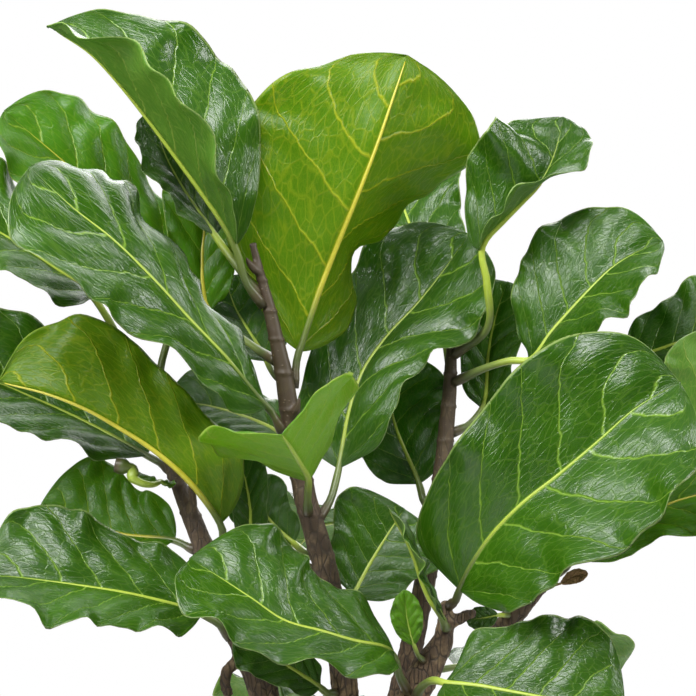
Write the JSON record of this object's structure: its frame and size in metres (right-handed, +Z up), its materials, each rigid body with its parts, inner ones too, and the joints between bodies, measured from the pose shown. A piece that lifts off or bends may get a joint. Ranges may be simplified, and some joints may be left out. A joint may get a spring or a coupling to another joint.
{
  "type": "potted fiddle leaf fig",
  "caption": "Bushy fiddle leaf fig with broad glossy violin-shaped leaves on woody stems, standing in a plain round clay pot on a saucer.",
  "frame": {"origin": "centre of the saucer's flat underside", "axes": "+Z up along the pot's axis, -Y towards the front of the plant, +X to its right"},
  "size_m": [0.7851, 0.5617, 1.1226],
  "materials": {
    "clay": "unglazed fired clay, matt, slightly mottled",
    "soil": "dark crumbly potting soil with bark chips, matt",
    "bark": "smooth purple-brown bark above, grey-brown and cracked below",
    "leaf_mature": "leathery, glossy dark green above with pale veins, lighter and matt below",
    "leaf_pale": "leathery mid green with golden veins, lit through",
    "leaf_young": "soft glossy lime green with pale veins",
    "leaf_dried": "dry papery brown"
  },
  "bodies": {
    "root": {"back_leaf_behind_crown": "leaf_mature", "back_leaf_behind_fan": "leaf_mature", "back_leaf_behind_hero": "leaf_mature", "back_leaf_centre_reaching": "leaf_mature", "back_leaf_low_left": "leaf_mature", "back_leaf_low_right": "leaf_mature", "back_leaf_narrow_dark": "leaf_mature", "back_leaf_ridged_fan": "leaf_mature", "back_leaf_textured": "leaf_mature", "back_leaf_top_folded": "leaf_mature", "centre_leaf_back_level": "leaf_mature", "centre_leaf_back_upper": "leaf_mature", "centre_leaf_behind_twisted": "leaf_mature", "centre_leaf_deep_right": "leaf_mature", "centre_leaf_left_glossy": "leaf_mature", "centre_leaf_left_pale": "leaf_pale", "centre_leaf_low_drooping": "leaf_mature", "centre_leaf_low_folded": "leaf_mature", "centre_leaf_low_left_dark": "leaf_mature", "centre_leaf_low_left_green": "leaf_mature", "centre_leaf_tall_backlit": "leaf_pale", "centre_leaf_top_twisted": "leaf_mature", "centre_leaf_young_front": "leaf_young", "front_leaf_centre_glossy": "leaf_mature", "front_leaf_corner_dark": "leaf_mature", "front_leaf_edge_on": "leaf_mature", "front_leaf_hero": "leaf_mature", "front_leaf_low_centre": "leaf_mature", "front_leaf_low_right": "leaf_mature", "front_leaf_olive_strip": "leaf_mature", "front_leaf_small_pale": "leaf_young", "left_leaf_back_high": "leaf_mature", "left_leaf_back_mid": "leaf_mature", "left_leaf_broad_backlit": "leaf_pale", "left_leaf_curled_bud": "leaf_young", "left_leaf_dark_outer": "leaf_mature", "left_leaf_level_pale": "leaf_pale", "left_leaf_low_back": "leaf_mature", "left_leaf_low_dark": "leaf_mature", "left_leaf_low_front": "leaf_mature", "left_leaf_top_outer": "leaf_mature", "left_leaf_top_pale": "leaf_pale", "pot": "clay", "potting_soil": "soil", "right_leaf_back_high": "leaf_mature", "right_leaf_bright": "leaf_pale", "right_leaf_dried": "leaf_dried", "right_leaf_low_outer": "leaf_mature", "right_leaf_outer_top": "leaf_mature", "right_leaf_ribbed_back": "leaf_mature", "saucer": "clay", "stem_back": "bark", "stem_centre": "bark", "stem_front_right": "bark", "stem_left": "bark", "stem_right": "bark"}
  },
  "joints": []
}
